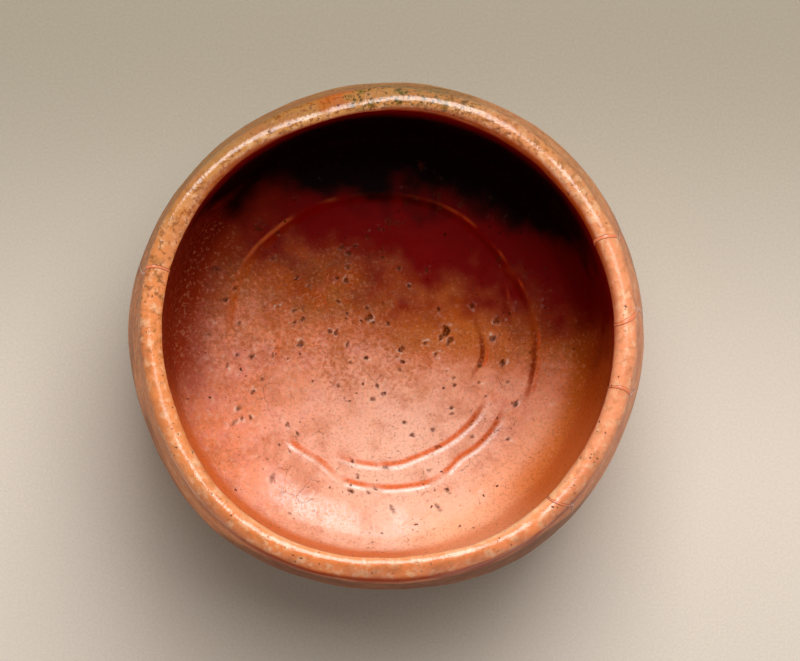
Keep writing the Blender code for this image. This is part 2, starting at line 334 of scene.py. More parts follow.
def shaped(radius, height, in_bowl, angle):
    """Moves points of the turned bowl to where the potter left them."""
    belly = ease((height - FOOT_HEIGHT) / (BELLY_LEVEL - FOOT_HEIGHT))
    lip = ease((height - BELLY_LEVEL) / (BOWL_HEIGHT - BELLY_LEVEL))
    push = belly * (1.0 - 0.7 * lip) * pushes_at(BELLY_PUSHES, angle)
    push += lip * pushes_at(LIP_PUSHES, angle)
    top = ease((height - BOWL_HEIGHT + LIP_WIDTH / 2) / (LIP_WIDTH / 2))
    reach = radius + push * radius / BELLY_RADIUS + top * pushes_at(LIP_ROLLS, angle)
    rise = lip * LIP_WAVE * (np.cos(LIP_PEAKS * angle) + 0.5 * np.cos(2.0 * angle + 1.0))
    rise -= np.where(in_bowl, pool_drop(radius, angle), 0.0)
    across = reach * np.cos(angle) + lip * LIP_LEAN[0]
    along = reach * np.sin(angle) + lip * LIP_LEAN[1]
    return np.stack([across, along, height + rise], axis=1)


# %% [markdown]
# ## Turning a section
# As by hand: a plane is collapsed to one point, the point is extruded along the section, and
# the line is spun round the axis. Spinning leaves a seam and a pole of doubled points, so these
# are merged before the normals are made to point outwards.

# %% Spin a section into a solid
def deselect():
    if bpy.context.object and bpy.context.object.mode != "OBJECT":
        bpy.ops.object.mode_set(mode="OBJECT")
    bpy.ops.object.select_all(action="DESELECT")


def turned(name, line, segments):
    deselect()
    bpy.ops.mesh.primitive_plane_add(size=0.001, location=(0.0, 0.0, 0.0))
    piece = bpy.context.object
    piece.name = name
    bpy.ops.object.mode_set(mode="EDIT")
    bpy.ops.mesh.select_all(action="SELECT")
    bpy.ops.mesh.merge(type="CENTER")
    bpy.ops.transform.translate(value=(line[0][0], 0.0, line[0][1]))
    for step in np.diff(line, axis=0):
        bpy.ops.mesh.extrude_region_move(TRANSFORM_OT_translate={"value": (step[0], 0.0, step[1])})
    bpy.ops.mesh.select_all(action="SELECT")
    bpy.ops.mesh.spin(steps=segments, angle=math.tau, center=(0.0, 0.0, 0.0), axis=(0.0, 0.0, 1.0))
    bpy.ops.mesh.select_all(action="SELECT")
    bpy.ops.mesh.remove_doubles(threshold=0.00001)
    bpy.ops.mesh.normals_make_consistent(inside=False)
    bpy.ops.object.mode_set(mode="OBJECT")
    bpy.ops.object.shade_smooth()
    return piece


def rows_of(items, name):
    """The three numbers that each item keeps under this name, as one row each."""
    flat = np.empty(3 * len(items))
    items.foreach_get(name, flat)
    return flat.reshape(-1, 3)


def places_of(piece):
    return rows_of(piece.data.vertices, "co")


def move_to(piece, places):
    piece.data.vertices.foreach_set("co", places.ravel())
    piece.data.update()


def hand_shaped(piece):
    """Bends a turned piece by the rule, and gives its turned radius, height and angle."""
    places = places_of(piece)
    radius = np.hypot(places[:, 0], places[:, 1])
    angle = np.arctan2(places[:, 1], places[:, 0])
    in_bowl = places[:, 2] > FLOOR_LEVEL - 2.0 * SKIN
    move_to(piece, shaped(radius, places[:, 2], in_bowl, angle))
    return radius, places[:, 2], angle


# %% [markdown]
# ## The coat of glaze
# The coat is a thin closed shell. Its face needs fine points and its hidden back doesn't, so
# the back is drawn with points 3 mm apart.

# %% Turn and bend the glaze
GLAZE_SEGMENTS = 288
BACK_SPACING = 0.003
BACK_LIP_STEPS = 8

back = inset(glazed_section(BACK_SPACING, BACK_SPACING, BACK_LIP_STEPS), GLAZE_THICKNESS)
glaze_line = np.concatenate([back[::-1], surface])
glaze = turned("glaze_skin", glaze_line, GLAZE_SEGMENTS)
radius, height, angle = hand_shaped(glaze)
print("The glaze has", len(glaze.data.polygons), "faces")

# %% [markdown]
# Raku is never smooth: the wall keeps the press of fingers. That is real relief, so it is
# worked into the mesh and not left to the material. The noise has three sizes of lump, as
# fingers, fingertips and grit leave. Points on the back are left alone, and the outer wall
# lies a little lower so that its bulges stay inside the frame's box.

# %% The press of fingers
# Rise, size of the lumps, and seed
FINGER_WAVES = ((0.00022, 0.013, 1.0), (0.00013, 0.0055, 2.0), (0.00005, 0.0022, 3.0))
OUTSIDE_SINK = 0.0002
SINK_REACH = 0.010


def nearest_station(line, radius, height):
    """The section's point that each point of the piece was turned from."""
    nearest = np.zeros(len(radius), dtype=int)
    least = np.full(len(radius), np.inf)
    for index, (reach, level) in enumerate(line):
        apart = (radius - reach) ** 2 + (height - level) ** 2
        closer = apart < least
        nearest[closer] = index
        least[closer] = apart[closer]
    return nearest


def unevenness(places, size, seed):
    """Smooth noise from -1 to 1 with lumps of this size."""
    shift = Vector((seed, 2.0 * seed, 3.0 * seed))
    return np.array([noise.noise(Vector(place) / size + shift) for place in places])


def finger_marks(places):
    """How far the press of fingers raises the wall at each place."""
    return sum(rise * unevenness(places, size, seed) for rise, size, seed in FINGER_WAVES)


nearest = nearest_station(glaze_line, radius, height)
face = nearest >= len(back)
crest = len(back) + int(np.argmax(surface[:, 1]))
# 0 on the outer wall, 1 on the inner wall, and half on the crest of the lip
inside = np.clip(0.5 + (nearest - crest) / LIP_STEPS, 0.0, 1.0)
places = places_of(glaze)
relief = np.zeros(len(places))
relief[face] += finger_marks(places[face])
sunk = OUTSIDE_SINK * (1.0 - inside[face])
relief[face] -= sunk * ease((height[face] - FOOT_HEIGHT) / SINK_REACH)
print("Fingers moved the wall by up to", round(1000 * np.abs(relief).max(), 2), "mm")

# %% [markdown]
# The glaze pits where gas broke through it and swells where it lies over grit. The large pits
# are placed as in the photograph, and the small ones are strewn by a seeded draw. Each is a
# crater with a raised rim, and a little noise in its distance keeps it from being round.

# %% Pits and swellings
PIT_SEED = 7
SMALL_PITS = 130
SMALL_PIT_REACH = 0.044
SMALL_PIT_SIZES = (0.00035, 0.0006)
SMALL_PIT_DEPTHS = (0.1, 0.3)
# Across, along, radius and depth in millimetres; a negative depth is a swelling.
LARGE_PITS = (
    (15.6, 2.6, 1.08, 0.50), (14.4, 1.2, 0.72, 0.32), (16.6, 0.6, 0.79, 0.36), (13.9, 3.4, 0.65, -0.23),
    (19.0, 10.5, 0.86, -0.32), (21.8, 8.6, 0.65, 0.32), (5.5, 8.4, 0.79, -0.27), (7.1, 11.2, 0.79, -0.25),
    (9.6, 5.2, 0.58, -0.23), (-3.3, 5.7, 0.72, 0.29), (-4.6, 5.4, 0.58, -0.18), (-11.0, 2.2, 0.65, 0.27),
    (-12.2, 2.5, 0.50, 0.23), (-8.5, 14.8, 0.65, 0.27), (-7.7, 21.4, 0.58, 0.25), (-2.7, 22.8, 0.58, -0.23),
    (27.8, 5.0, 0.72, 0.27), (26.2, 0.9, 0.58, 0.25), (29.2, -5.2, 0.72, 0.23), (31.9, -14.7, 0.65, 0.36),
    (31.4, -12.9, 1.73, -0.41), (5.5, -19.2, 0.50, 0.25), (4.4, -1.9, 0.65, 0.18), (5.0, -4.7, 0.65, 0.18),
    (-13.4, -4.9, 0.58, -0.18), (-19.4, -0.5, 0.79, 0.20), (-31.0, -3.6, 0.65, 0.23),
    (-22.5, -19.9, 0.65, 0.27), (-34.1, -15.9, 0.65, 0.23), (38.5, 8.5, 0.72, 0.23),
    (4.4, 18.0, 0.58, 0.20), (-27.9, -22.0, 1.15, -0.23),
)


def pit(distance, radius, depth):
    """A crater with a raised rim, or for a negative depth a plain swelling."""
    if depth < 0.0:
        return -depth * np.exp(-((distance / radius) ** 2))
    hole = -depth * np.exp(-2.2 * (distance / radius) ** 2)
    rim = 0.25 * depth * np.exp(-(((distance - 1.25 * radius) / (0.45 * radius)) ** 2))
    return hole + rim


rng = np.random.default_rng(PIT_SEED)
pits = [tuple(0.001 * value for value in entry) for entry in LARGE_PITS]
for _ in range(SMALL_PITS):
    reach = SMALL_PIT_REACH * math.sqrt(rng.random())
    direction = math.tau * rng.random()
    size = rng.uniform(*SMALL_PIT_SIZES)
    depth = rng.uniform(*SMALL_PIT_DEPTHS) * size
    pits.append((reach * math.cos(direction), reach * math.sin(direction), size, depth))
print("Pits and swellings:", len(pits))

# %% Work the pits into the floor
UNROUND_SHARE = 0.8
UNROUND_SIZE = 0.0011

in_basin = (height > FLOOR_LEVEL - SKIN) & (height < BELLY_LEVEL)
floor_points = np.flatnonzero(face & in_basin & (radius < HIP_RADIUS))
pitted = np.zeros(len(places))
rims_and_glints = np.zeros(len(places))
unround = 1.0 + UNROUND_SHARE * unevenness(places[floor_points], UNROUND_SIZE, 7.0)
for across, along, size, depth in pits:
    distance = np.hypot(places[floor_points, 0] - across, places[floor_points, 1] - along) * unround
    near = distance < 3.0 * size
    touched = floor_points[near]
    relief[touched] += pit(distance[near], size, depth)
    if depth > 0.0:
        apart = distance[near] / size
        pitted[touched] = np.maximum(pitted[touched], ease((1.05 - apart) / 0.45))
        rims_and_glints[touched] = np.maximum(rims_and_glints[touched], np.exp(-(((apart - 1.35) / 0.4) ** 2)))
normals = rows_of(glaze.data.vertex_normals, "vector")
move_to(glaze, places + normals * relief[:, None])
print("The relief reaches", round(1000 * np.abs(relief).max(), 2), "mm")

# %% [markdown]
# ## Where fire coloured the glaze, and where shade is painted
# The lip came out salmon, tan, red and olive, and the far side inside is painted dark red and
# black as shade.
# Where each colour lies is worked out per point and kept on the mesh as a named value from 0
# to 1, so the material only has to say what colour each one is.

# %% Measures for the coloured places
# Directions of the painted shade that the rim casts inside, and of its black core
SHADE_DIRECTION = math.radians(76)
BLACK_SHADE_DIRECTION = math.radians(84)

# From here to the end of the masks, lengths are in millimetres
places = places_of(glaze)
across, along, level = 1000.0 * places.T
out = 1000.0 * radius
coarse = unevenness(places, 0.014, 4.0)
medium = unevenness(places, 0.0060, 6.0)
fine = unevenness(places, 0.0026, 5.0)


def rises(values, start, reach):
    """From 0 at the start to 1 once the values are this much larger."""
    return ease((values - start) / reach)


def falls(values, end, reach):
    """From 1 down to 0 at the end, over this much before it."""
    return ease((end - values) / reach)


def round_direction(angle, degrees, spread):
    """1 within this spread of a direction, running out to 0 at twice the spread."""
    apart = np.abs((np.degrees(angle) - degrees + 180.0) % 360.0 - 180.0)
    return ease(2.0 - apart / spread)


def toward(direction):
    """How far each point lies toward a direction, with a ragged front."""
    ragged = 8.0 * coarse + 5.0 * medium + 3.0 * fine
    return across * math.cos(direction) + along * math.sin(direction) + ragged


def round_spot(x, y, size):
    """1 in the middle of a spot on the floor, running out to 0 at its size."""
    return ease(1.0 - np.hypot(across - x, along - y) / size)


# %% [markdown]
# The dark red and the near black on the far side of the inside are painted shade: the rim's
# shadow, painted into the colour, and the black also climbs the wall. Their fronts are broken
# by noise of three sizes, because a clean edge would look painted.

# %% Painted shade on the inside
WALL_FOOT = 36.0
WALL_TURN = 14.0

toward_shade = toward(SHADE_DIRECTION)
toward_black_shade = toward(BLACK_SHADE_DIRECTION) + 0.5 * np.clip(out - WALL_FOOT, 0.0, None)
ragged_angle = angle + np.radians(3.0 * coarse + 4.0 * medium + 5.0 * fine)
to_left = np.clip(across, -50.0, 0.0)
# painted shade: dark red where the rim's shadow falls on the far side
painted_red_shade = inside * rises(toward_shade + 0.10 * to_left, 4.0, 18.0)
# painted shade: near black in the core of the rim's shadow, also up the wall
painted_black_shade = 0.98 * inside * rises(toward_black_shade, 28.5, 13.0)
painted_black_shade *= 1.0 - 0.9 * rises(level, WALL_FOOT, WALL_TURN)
print("Black glaze on", round(100 * float((painted_black_shade > 0.5).mean())), "% of the points")

# %% [markdown]
# A step shows as a light line over a darker face: the line on the brink is a painted highlight,
# and the face is painted darker as shade, dark red on the right. The masks follow the same steps
# that shaped the floor, and noise breaks them up.

# %% Faces and brinks of the steps
on_floor = inside * (radius < SLOPE_START)
step_faces = np.zeros(len(places))
step_brinks = np.zeros(len(places))
for depth, inward in along_steps(radius, angle):
    depth = on_floor * np.clip(1.6 * depth, 0.0, 1.0)
    step_faces = np.maximum(step_faces, depth * rises(inward, 0.25, 0.25) * falls(inward, 1.15, 0.35))
    step_brinks = np.maximum(step_brinks, depth * rises(inward, -0.25, 0.25) * falls(inward, 0.40, 0.25))
step_faces *= ease(0.85 + 1.2 * medium + 0.5 * fine)
step_brinks *= ease(0.70 + 1.4 * medium + 0.8 * fine)
to_front = round_direction(angle, 268.0, 38.0)

# %% [markdown]
# The lip has its own band of colour. At the front its lower edge is straight, and elsewhere it
# creeps down the wall in tongues. The glaze is glossy on top of the lip and nearly matt inside,
# apart from a glossy, grainy patch at the front of the floor, whose light colour is a painted
# highlight.

# %% The lip and the gloss
LIP_FOOT = 75.5
TONGUE = 24.0
LIP_TOP = 81.2

front = round_direction(angle, 275.0, 30.0)
lower = falls(inside, 0.4, 0.3) * (1.0 - front)
lip_foot = LIP_FOOT - lower * (TONGUE + 20.0 * coarse + 12.0 * medium)
lip = ease((level - lip_foot) / (5.0 + 14.0 * lower))
lip_gloss = rises(level, LIP_TOP, 1.5) * ease(1.1 + 1.4 * medium + 0.8 * fine)
lip_gloss *= 1.0 - 0.6 * round_direction(angle, 355.0, 24.0) - 0.5 * round_direction(angle, 188.0, 14.0)
# a glossy, grainy patch at the front of the floor; its light colour is a painted highlight
sugary_gloss_and_highlight = np.maximum(round_direction(angle, 258.0, 16.0), 0.6 * round_direction(angle, 288.0, 13.0))
sugary_gloss_and_highlight *= inside * ease(0.85 + 1.3 * medium + 0.8 * fine)
sugary_gloss_and_highlight *= rises(out, 38.5, 3.0) * falls(out, 47.0, 1.5)
gloss_inside = (0.02 + 0.3 * sugary_gloss_and_highlight + 0.6 * step_brinks * to_front + 0.06 * rims_and_glints) * (1.0 - painted_red_shade)

# %% [markdown]
# Each mask answers one question about a point, such as how far it lies on the lip or in the
# painted shade, and most are a product of two or three simple rules. A wash of colour can later be held
# to several masks at once, so thirty-odd masks are enough for sixty washes.

# %% All the masks
masks = {
    "outside": 1.0 - rises(inside, 0.34, 0.28),
    "wall": 0.9 * rises(level, 16.5, 7.5),
    "shaded": inside * rises(out, WALL_FOOT, 12.0) * round_direction(angle, 158.0, 26.0),
    "smoky": ease(0.5 + 1.6 * unevenness(places, 0.010, 12.0)),
    # painted light: a brighter patch on the right of the floor
    "painted_light_right_floor": round_spot(22.0, 9.0, 30.0),
    # painted light: a brighter band at the front right, where the floor meets the wall
    "painted_light_right_front": inside * rises(out, WALL_FOOT, 8.0) * round_direction(angle, 310.0, 20.0),
    # painted highlight on the step brinks to the left
    "painted_highlight_left_brink": step_brinks * round_direction(angle, 142.0, 30.0),
    "flank": inside * rises(out, 42.5, 6.0) * round_direction(angle, -18.0, 22.0),
    # painted sheen: the light veil of the window's reflection on the front of the floor
    "painted_sheen": round_spot(4.0, -35.0, 48.0),
    "sugary_gloss_and_highlight": sugary_gloss_and_highlight,
    "matt": 1.0 - np.maximum(lip_gloss, np.where(inside > 0.5, gloss_inside, 0.15)),
    # the step faces are painted darker as shade, and the brinks carry painted highlights
    "step": step_faces,
    "painted_highlight_front_brink": step_brinks * to_front,
    "painted_highlight_side_brink": step_brinks**3 * (1.0 - to_front) * (1.0 - painted_black_shade),
    "painted_shade_side_step": step_faces * round_direction(angle, 35.0, 48.0),
    # the glaze's own brown speckle towards the far side, made darker there as painted shade
    "browned_and_shaded": inside * rises(toward_shade, -7.0, 16.0) * (1.0 - 0.4 * round_spot(-2.0, 0.0, 14.0)),
    "amber": inside * rises(toward_shade - 0.25 * across, -16.0, 14.0) * (1.0 - painted_red_shade),
    "floor": inside * falls(level, 65.0, 20.0) * (1.0 - painted_red_shade),
    "painted_red_shade": painted_red_shade,
    # painted shade at the foot of the far wall
    "deep_shade": inside * rises(out, 44.0, 4.0) * round_direction(angle, 76.0, 56.0),
    # painted shade: the dark red of the far wall in shade under the lip
    "shade_under_lip": inside * rises(level, WALL_FOOT, WALL_TURN) * round_direction(angle, 75.0, 62.0),
    "inner_edge": rises(inside, 0.60, 0.25) * lip,
    "far_side": round_direction(angle, 75.0, 45.0),
    # painted light: a brighter red inside the painted shade on the floor
    "painted_glow_in_shade": inside * rises(toward_shade, 21.0, 10.0) * falls(out, 42.0, 8.0),
    "painted_black_shade": painted_black_shade,
    "lip": lip,
    "right": rises(across, -30.0, 60.0),
    "back": rises(along, 4.0, 38.0) * (1.0 - 0.5 * round_direction(angle, 42.0, 18.0)),
    "red": round_direction(ragged_angle, 103.0, 3.0) * falls(inside, 0.56, 0.20) * rises(level, 70.0, 8.0),
    "aged": np.maximum(0.25, round_direction(angle, 110.0, 50.0)),
    "olive": round_direction(ragged_angle, 86.0, 9.0) * falls(inside, 0.80, 0.30) * rises(level, 60.0, 12.0),
    "tarnish": round_direction(ragged_angle, 92.0, 20.0),
    "front": front,
    # painted shade on the outer wall just under the lip
    "shade_under_edge": falls(inside, 0.20, 0.10) * rises(level + 5.0 * medium, LIP_FOOT, 5.0),
    "pitted": pitted,
    # the raised rim of each pit: glossy, and painted light, partly as a crust and partly as a painted glint
    "rims_and_glints": rims_and_glints * (1.0 - 0.9 * painted_red_shade),
}


def note_masks(piece, masks):
    """Keeps each mask on the piece, as a named value at every point."""
    for name, values in masks.items():
        piece.data.attributes.new(name, "FLOAT", "POINT").data.foreach_set("value", values)


note_masks(glaze, masks)
print("Colour masks on the glaze:", ", ".join(masks))

# %% [markdown]
# ## The clay under the glaze
# Clay shows only on the ring that the bowl stands on and in the cracks. It could be a copy of
# the glaze's back, but the ring needs edges of its own, softened as a wet sponge leaves them.
# So the body is turned from the same section, set back by the glaze and a hair's gap.

# %% Turn the clay
BODY_SEGMENTS = 240
BODY_SPACING = 0.0025
BODY_FLOOR_SPACING = 0.0015
BODY_LIP_STEPS = 10
EDGE_STEPS = 5
SOLE_SPACING = 0.0004
WELL_SPACING = 0.0008


def well_line():
    side = FOOT_RADIUS - FOOT_WIDTH - SKIN
    return smooth_line(
        [
            (side, GLAZE_EDGE),
            (side - 0.15 * WELL_FILLET, WELL_DEPTH - WELL_FILLET),
            (side - WELL_FILLET, WELL_DEPTH),
            (WELL_PEAK_RADIUS, WELL_DEPTH - 0.15 * WELL_PEAK_HEIGHT),
            (0.0, WELL_DEPTH - WELL_PEAK_HEIGHT),
        ]
    )


outer_corner = (FOOT_RADIUS - FOOT_ROUNDING, FOOT_ROUNDING)
inner_corner = (FOOT_RADIUS - FOOT_WIDTH + FOOT_ROUNDING, FOOT_ROUNDING)
outer_edge = arc(outer_corner, FOOT_ROUNDING, 0, -90, EDGE_STEPS)
inner_edge = arc(inner_corner, FOOT_ROUNDING, -90, -180, EDGE_STEPS)
flat = respaced([outer_edge[-1], inner_edge[0]], SOLE_SPACING)
well = respaced(well_line(), WELL_SPACING)
clay_face = inset(glazed_section(BODY_SPACING, BODY_FLOOR_SPACING, BODY_LIP_STEPS), SKIN)
foot_face = [outer_edge, flat[1:-1], inner_edge]
clay_line = np.concatenate([clay_face[::-1], *foot_face, inset(well, -SKIN)])
clay = turned("bisque_body", clay_line, BODY_SEGMENTS)
radius, height, angle = hand_shaped(clay)
print("Clay:", len(clay.data.polygons), "faces")

# %% [markdown]
# A raku bowl is glazed all over but for its ring, so it stands in the kiln on small stilts of
# clay. Each one leaves a shallow dimple in the ring, and there are five.

# %% Press the stilt marks
STILT_MARKS = 5
STILT_MARK_DEPTH = 0.0004
STILT_MARK_RADIUS = 0.0015

places = places_of(clay)
middle_of_ring = FOOT_RADIUS - FOOT_WIDTH / 2
for mark in range(STILT_MARKS):
    turn = angle - math.pi / 2 - math.tau * mark / STILT_MARKS
    apart = np.hypot(radius * np.cos(turn) - middle_of_ring, radius * np.sin(turn))
    pressed = STILT_MARK_DEPTH * np.clip(1.0 - (apart / STILT_MARK_RADIUS) ** 2, 0.0, None)
    places[:, 2] += np.where(height < FOOT_ROUNDING, pressed, 0.0)
move_to(clay, places)
print("Stilt marks:", STILT_MARKS)

# %% [markdown]
# ## The pool of glaze under the foot
# Glaze also fills the hollow inside the ring, cut off from the rest by the bare clay. It is a
# second small coat, turned from the hollow's own section. It keeps four of the named values of
# the large coat, each the same all over, and takes none of the painted shade. A value that it
# doesn't keep counts as 0.

# %% Turn the glaze in the well
WELL_MASKS = {"outside": 0.8, "back": 0.5, "smoky": 0.4, "matt": 0.6}

well_section = np.concatenate([inset(well, -GLAZE_THICKNESS)[::-1], well])
well_glaze = turned("well_glaze", well_section, BODY_SEGMENTS)
hand_shaped(well_glaze)
points = len(well_glaze.data.vertices)
note_masks(well_glaze, {name: np.full(points, value) for name, value in WELL_MASKS.items()})
print("Well glaze:", len(well_glaze.data.polygons), "faces")

# %% [markdown]
# ## The lacquer mends
# A mend is a strip of lacquer laid along the crack: up the inner wall, over the lip and down
# the outside. A flat grid is the right start, because its length can follow the section and its
# width can follow the crack. Solidify then gives it its depth in the crack.

# %% The course of each crack
# Name, directions at the inner and the outer edge in degrees, widths there, how far the crack
# runs down the wall, and how far it wanders aside
MENDS = (
    ("right_wide", 1.9, 5.4, 0.0007, 0.0022, 0.0250, 0.0012),
    ("right_upper", 24.8, 23.2, 0.0010, 0.0012, 0.0180, -0.0010),
    ("left", 163.3, 165.3, 0.0007, 0.0013, 0.0200, 0.0010),
    ("right_lower", 347.1, 346.9, 0.0006, 0.0017, 0.0130, -0.0008),
    ("front_right", 313.8, 317.3, 0.0006, 0.0009, 0.0160, 0.0010),
)
MEND_TIP_WIDTH = 0.0004
MEND_HALF_WAVES = 1.4
MEND_SPACING = 0.0004
MEND_LIP_STEPS = 24


def on_circle(reach, degrees):
    return reach * np.array([math.cos(math.radians(degrees)), math.sin(math.radians(degrees))])


def course_of(inner_direction, outer_direction, inner_width, outer_width, depth, wander):
    """Which way the crack runs over the lip, and its path, middle and width along it."""
    line = glazed_section(MEND_SPACING, MEND_SPACING, MEND_LIP_STEPS)
    path = line[line[:, 1] > BOWL_HEIGHT - depth][::-1]
    inner = on_circle(LIP_RADIUS - LIP_WIDTH / 2, inner_direction)
    outer = on_circle(LIP_RADIUS + LIP_WIDTH, outer_direction)
    along = (outer - inner) / np.linalg.norm(outer - inner)
    across = np.array([-along[1], along[0]])
    share = (path[:, 0] - np.hypot(*inner)) / (np.hypot(*outer) - np.hypot(*inner))
    sunk = np.clip((BOWL_HEIGHT - path[:, 1]) / depth, 0.0, 1.0)
    width = mix(inner_width, outer_width, np.clip(share, 0.0, 1.0))
    width = mix(width, MEND_TIP_WIDTH, sunk)
    middle = inner @ across + wander * np.sin(MEND_HALF_WAVES * math.pi * sunk)
    return along, path, middle, width


# %% [markdown]
# The strip lies on the same bent skin as the glaze and rises with the same finger marks, and
# its middle stands a hair proud of them. Its ragged sides come from noise along the crack. The
# UV map keeps the distance from the edge in millimetres, for the dark margin of the lacquer.

# %% Lay the mends
MEND_ACROSS = 8
MEND_SINK = 0.0009
MEND_PROUD = 0.00014
MEND_TUCK = 1.8
MEND_RAGGED = 0.2
RAGGED_SIZE = 0.0014


def note_run(piece, run, from_edge):
    """Keeps how far along and how far in each point lies, in millimetres on the UV map."""
    corners = np.empty(len(piece.data.loops), dtype=int)
    piece.data.loops.foreach_get("vertex_index", corners)
    both = 1000.0 * np.stack([run, from_edge], axis=1)
    piece.data.uv_layers["UVMap"].data.foreach_set("uv", both[corners].ravel())


def give_depth(piece, lift):
    """Turns the strip's faces outwards, along the lift, and thickens it into the crack."""
    facing = rows_of(piece.data.polygon_normals, "vector")
    corners = [polygon.vertices[0] for polygon in piece.data.polygons]
    bpy.ops.object.mode_set(mode="EDIT")
    bpy.ops.mesh.select_all(action="SELECT")
    if (facing * lift[corners]).sum() < 0.0:
        bpy.ops.mesh.flip_normals()
    bpy.ops.object.mode_set(mode="OBJECT")
    solidify = piece.modifiers.new("depth in the crack", "SOLIDIFY")
    solidify.thickness = MEND_SINK
    solidify.offset = -1.0
    bpy.ops.object.modifier_apply(modifier=solidify.name)
    bpy.ops.object.shade_smooth_by_angle(angle=math.radians(50))


def lay_mend(name, *course):
    along, path, middle, width = course_of(*course)
    steps = len(path) - 1
    deselect()
    bpy.ops.mesh.primitive_grid_add(x_subdivisions=steps, y_subdivisions=MEND_ACROSS, size=1.0)
    piece = bpy.context.object
    piece.name = "lacquer_" + name
    grid = places_of(piece)
    station = np.rint((grid[:, 0] + 0.5) * steps).astype(int)
    side = 2.0 * grid[:, 1]
    run = MEND_SPACING * station
    edge_run = np.stack([run, 0.01 * np.sign(side), 0.0 * side], axis=1)
    ragged = 1.0 + MEND_RAGGED * unevenness(edge_run, RAGGED_SIZE, len(name))
    aside = middle[station] + 0.5 * width[station] * side * ragged
    reach = path[station, 0]
    angle = np.arctan2(along[1], along[0]) + np.arcsin(aside / reach)
    on_skin = shaped(reach, path[station, 1], np.zeros(len(reach), dtype=bool), angle)
    slope = np.gradient(path, axis=0)
    slope /= np.linalg.norm(slope, axis=1)[:, None]
    outwards, up = -slope[station, 1], slope[station, 0]
    lift = np.stack([outwards * np.cos(angle), outwards * np.sin(angle), up], axis=1)
    past_crest = np.clip(0.5 + (station - np.argmax(path[:, 1])) / LIP_STEPS, 0.0, 1.0)
    dome = MEND_PROUD * (1.0 - MEND_TUCK * side**4)
    dome += finger_marks(on_skin) - OUTSIDE_SINK * past_crest
    move_to(piece, on_skin + lift * dome[:, None])
    note_run(piece, run, 0.5 * width[station] * (1.0 - np.abs(side)))
    give_depth(piece, lift)
    return piece


mends = [lay_mend(*mend) for mend in MENDS]
for piece in mends:
    print(piece.name, "has", len(piece.data.polygons), "faces")

# %% [markdown]
# ## Which piece stands for which node
# The nodes of the frame stay in place, hidden, for collision. Each finished piece rides with
# the bowl, which has a single body because nothing on it moves.

# %% Tie the pieces to the frame
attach(glaze, "root")
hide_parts("glaze_coat")
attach(well_glaze, "root")
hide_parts("foot_well_glaze")
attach(clay, "root")
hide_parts("clay_body")
for piece, mend in zip(mends, MENDS):
    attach(piece, "root")
    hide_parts("lacquer_mend_" + mend[0])
print("Pieces on the bowl's body:", 3 + len(mends))

# %% [markdown]
# ## Mixing colours and joining nodes
# Colours are written as a paint chart has them, in sRGB hex, and one function turns them to the
# linear values that a shader wants. One more function adds a node with its settings and links.

# %% Colour and node helpers
MILLIMETRE = 0.001
# Sockets of a colour mix and of a map range, which share their names with hidden ones
FACTOR, COLOUR_A, COLOUR_B = 0, 6, 7
VALUE, FROM_LOW, FROM_HIGH, TO_LOW, TO_HIGH = range(5)


def paint(hex_colour):
    """The linear colour of a hex value."""
    linear = []
    for start in (1, 3, 5):
        value = int(hex_colour[start : start + 2], 16) / 255
        linear.append(value / 12.92 if value <= 0.04045 else ((value + 0.055) / 1.055) ** 2.4)
    return (*linear, 1.0)


def add_node(tree, kind, links=None, **settings):
    """Adds a node. Links gives an input its value, or the node or output that drives it."""
    made = tree.nodes.new(kind)
    for name, value in settings.items():
        setattr(made, name, value)
    for socket, value in (links or {}).items():
        if isinstance(value, bpy.types.Node):
            value = next(output for output in value.outputs if output.enabled)
        if isinstance(value, bpy.types.NodeSocket):
            tree.links.new(value, made.inputs[socket])
        else:
            made.inputs[socket].default_value = value
    return made


def new_material(name):
    material = bpy.data.materials.new(name)
    material.use_nodes = True
    material.node_tree.nodes.clear()
    return material, material.node_tree


# %% [markdown]
# ## Clear lead glaze over red slip
# Red raku gets its colour from an iron-rich slip under a clear, soft lead glaze. So the shader
# is a rough, saturated ground with a clear coat over it: the coat gives the white window line
# on the lip, the ground gives the salmon and orange, and over most of the inside, in the painted
# shade and on parts of the lip the coat is left out. The colours are laid one over the other
# like washes, each held to the noted places or to a cloud of noise, and the last wash lies on top.

# %% Clouds, cells and washes of the glaze
# Name, size in millimetres, detail, and the noise levels where the cloud starts and is full
CLOUDS = (
    ("salmon", 16.0, 6.0, 0.40, 0.62),
    ("brown", 6.0, 8.0, 0.45, 0.66),
    ("rosy", 4.0, 8.0, 0.48, 0.62),
    ("olive_film", 5.0, 8.0, 0.46, 0.60),
    ("milky", 1.2, 6.0, 0.48, 0.72),
    ("tan", 9.0, 6.0, 0.40, 0.66),
    ("mottle", 2.8, 6.0, 0.48, 0.64),
    ("pale_mottle", 2.2, 6.0, 0.48, 0.66),
    ("brown_mottle", 1.4, 6.0, 0.50, 0.64),
    ("specked", 8.0, 4.0, 0.40, 0.56),
    ("crazed", 6.5, 4.0, 0.54, 0.64),
    ("grains", 0.60, 3.0, 0.44, 0.60),
    ("grit", 0.60, 4.0, 0.50, 0.62),
    ("sand", 1.10, 6.0, 0.42, 0.60),
    ("chalk", 0.90, 5.0, 0.52, 0.68),
    ("freckles", 0.9, 3.0, 0.52, 0.60),
)
# Name, size in millimetres, kind of cell pattern, and the distances where it is full and gone
CELLS = (
    ("hole", 3.4, "F1", 0.05, 0.12),
    ("speck", 1.7, "F1", 0.06, 0.14),
    ("crackle", 4.5, "DISTANCE_TO_EDGE", 0.006, 0.026),
)
